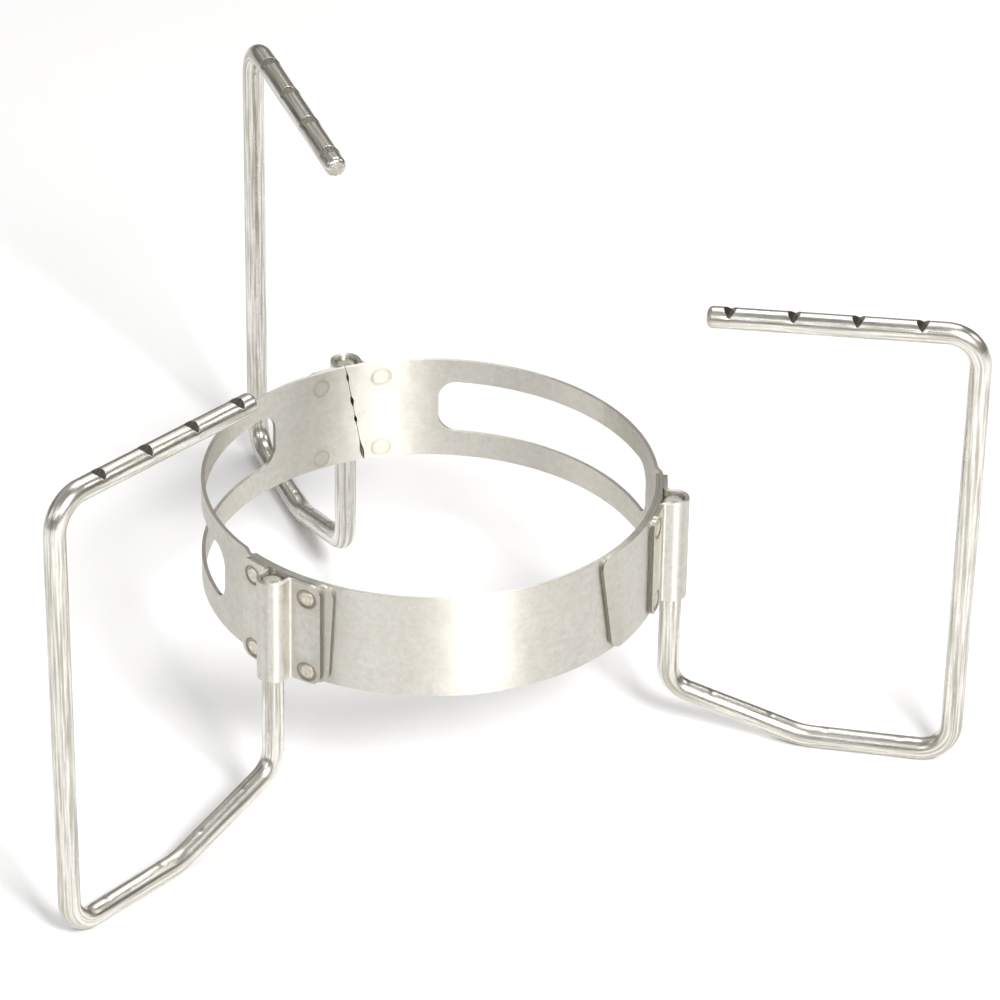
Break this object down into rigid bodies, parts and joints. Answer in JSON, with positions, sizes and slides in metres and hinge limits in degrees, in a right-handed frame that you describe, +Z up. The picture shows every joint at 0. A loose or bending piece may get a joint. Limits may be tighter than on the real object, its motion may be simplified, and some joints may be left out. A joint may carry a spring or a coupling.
{
  "type": "folding burner stand",
  "caption": "Round windowed sheet-steel burner ring with hinge clips that carry swinging bent-wire legs with notched pot arms.",
  "frame": {"origin": "on the ring's axis, in the plane of the table that the foot rails stand on", "axes": "+Z up along the ring's axis, +Y towards the rear leg, the plain front plate faces -Y"},
  "size_m": [0.1742, 0.152, 0.092],
  "materials": {
    "ring_strip": "satin rolled strip with a mottled grain",
    "clip_strip": "satin rolled strip, brighter on its bends",
    "weld": "dull spot weld with a heat tint",
    "leg_wire": "bright drawn wire with fine lines along it"
  },
  "bodies": {
    "ring": {"left_band": "ring_strip", "right_band": "ring_strip", "front_plate": "ring_strip", "left_clip": "clip_strip", "left_clip_welds": "weld", "right_clip": "clip_strip", "right_clip_welds": "weld", "rear_clip": "clip_strip", "rear_clip_welds": "weld"},
    "left_leg": {"left_leg": "leg_wire"},
    "right_leg": {"right_leg": "leg_wire"},
    "rear_leg": {"rear_leg": "leg_wire"}
  },
  "joints": [
    {"name": "left_leg_hinge", "type": "hinge", "parent": "ring", "child": "left_leg", "pos_m": [-0.03845, -0.0222, 0.0401], "axis": [0, 0, 1], "range_deg": [-87.3, 127.7]},
    {"name": "right_leg_hinge", "type": "hinge", "parent": "ring", "child": "right_leg", "pos_m": [0.03845, -0.0222, 0.0401], "axis": [0, 0, 1], "range_deg": [-88.1, 126.9]},
    {"name": "rear_leg_hinge", "type": "hinge", "parent": "ring", "child": "rear_leg", "pos_m": [0, 0.0437, 0.0401], "axis": [0, 0, 1], "range_deg": [-88.7, 126.3]}
  ]
}
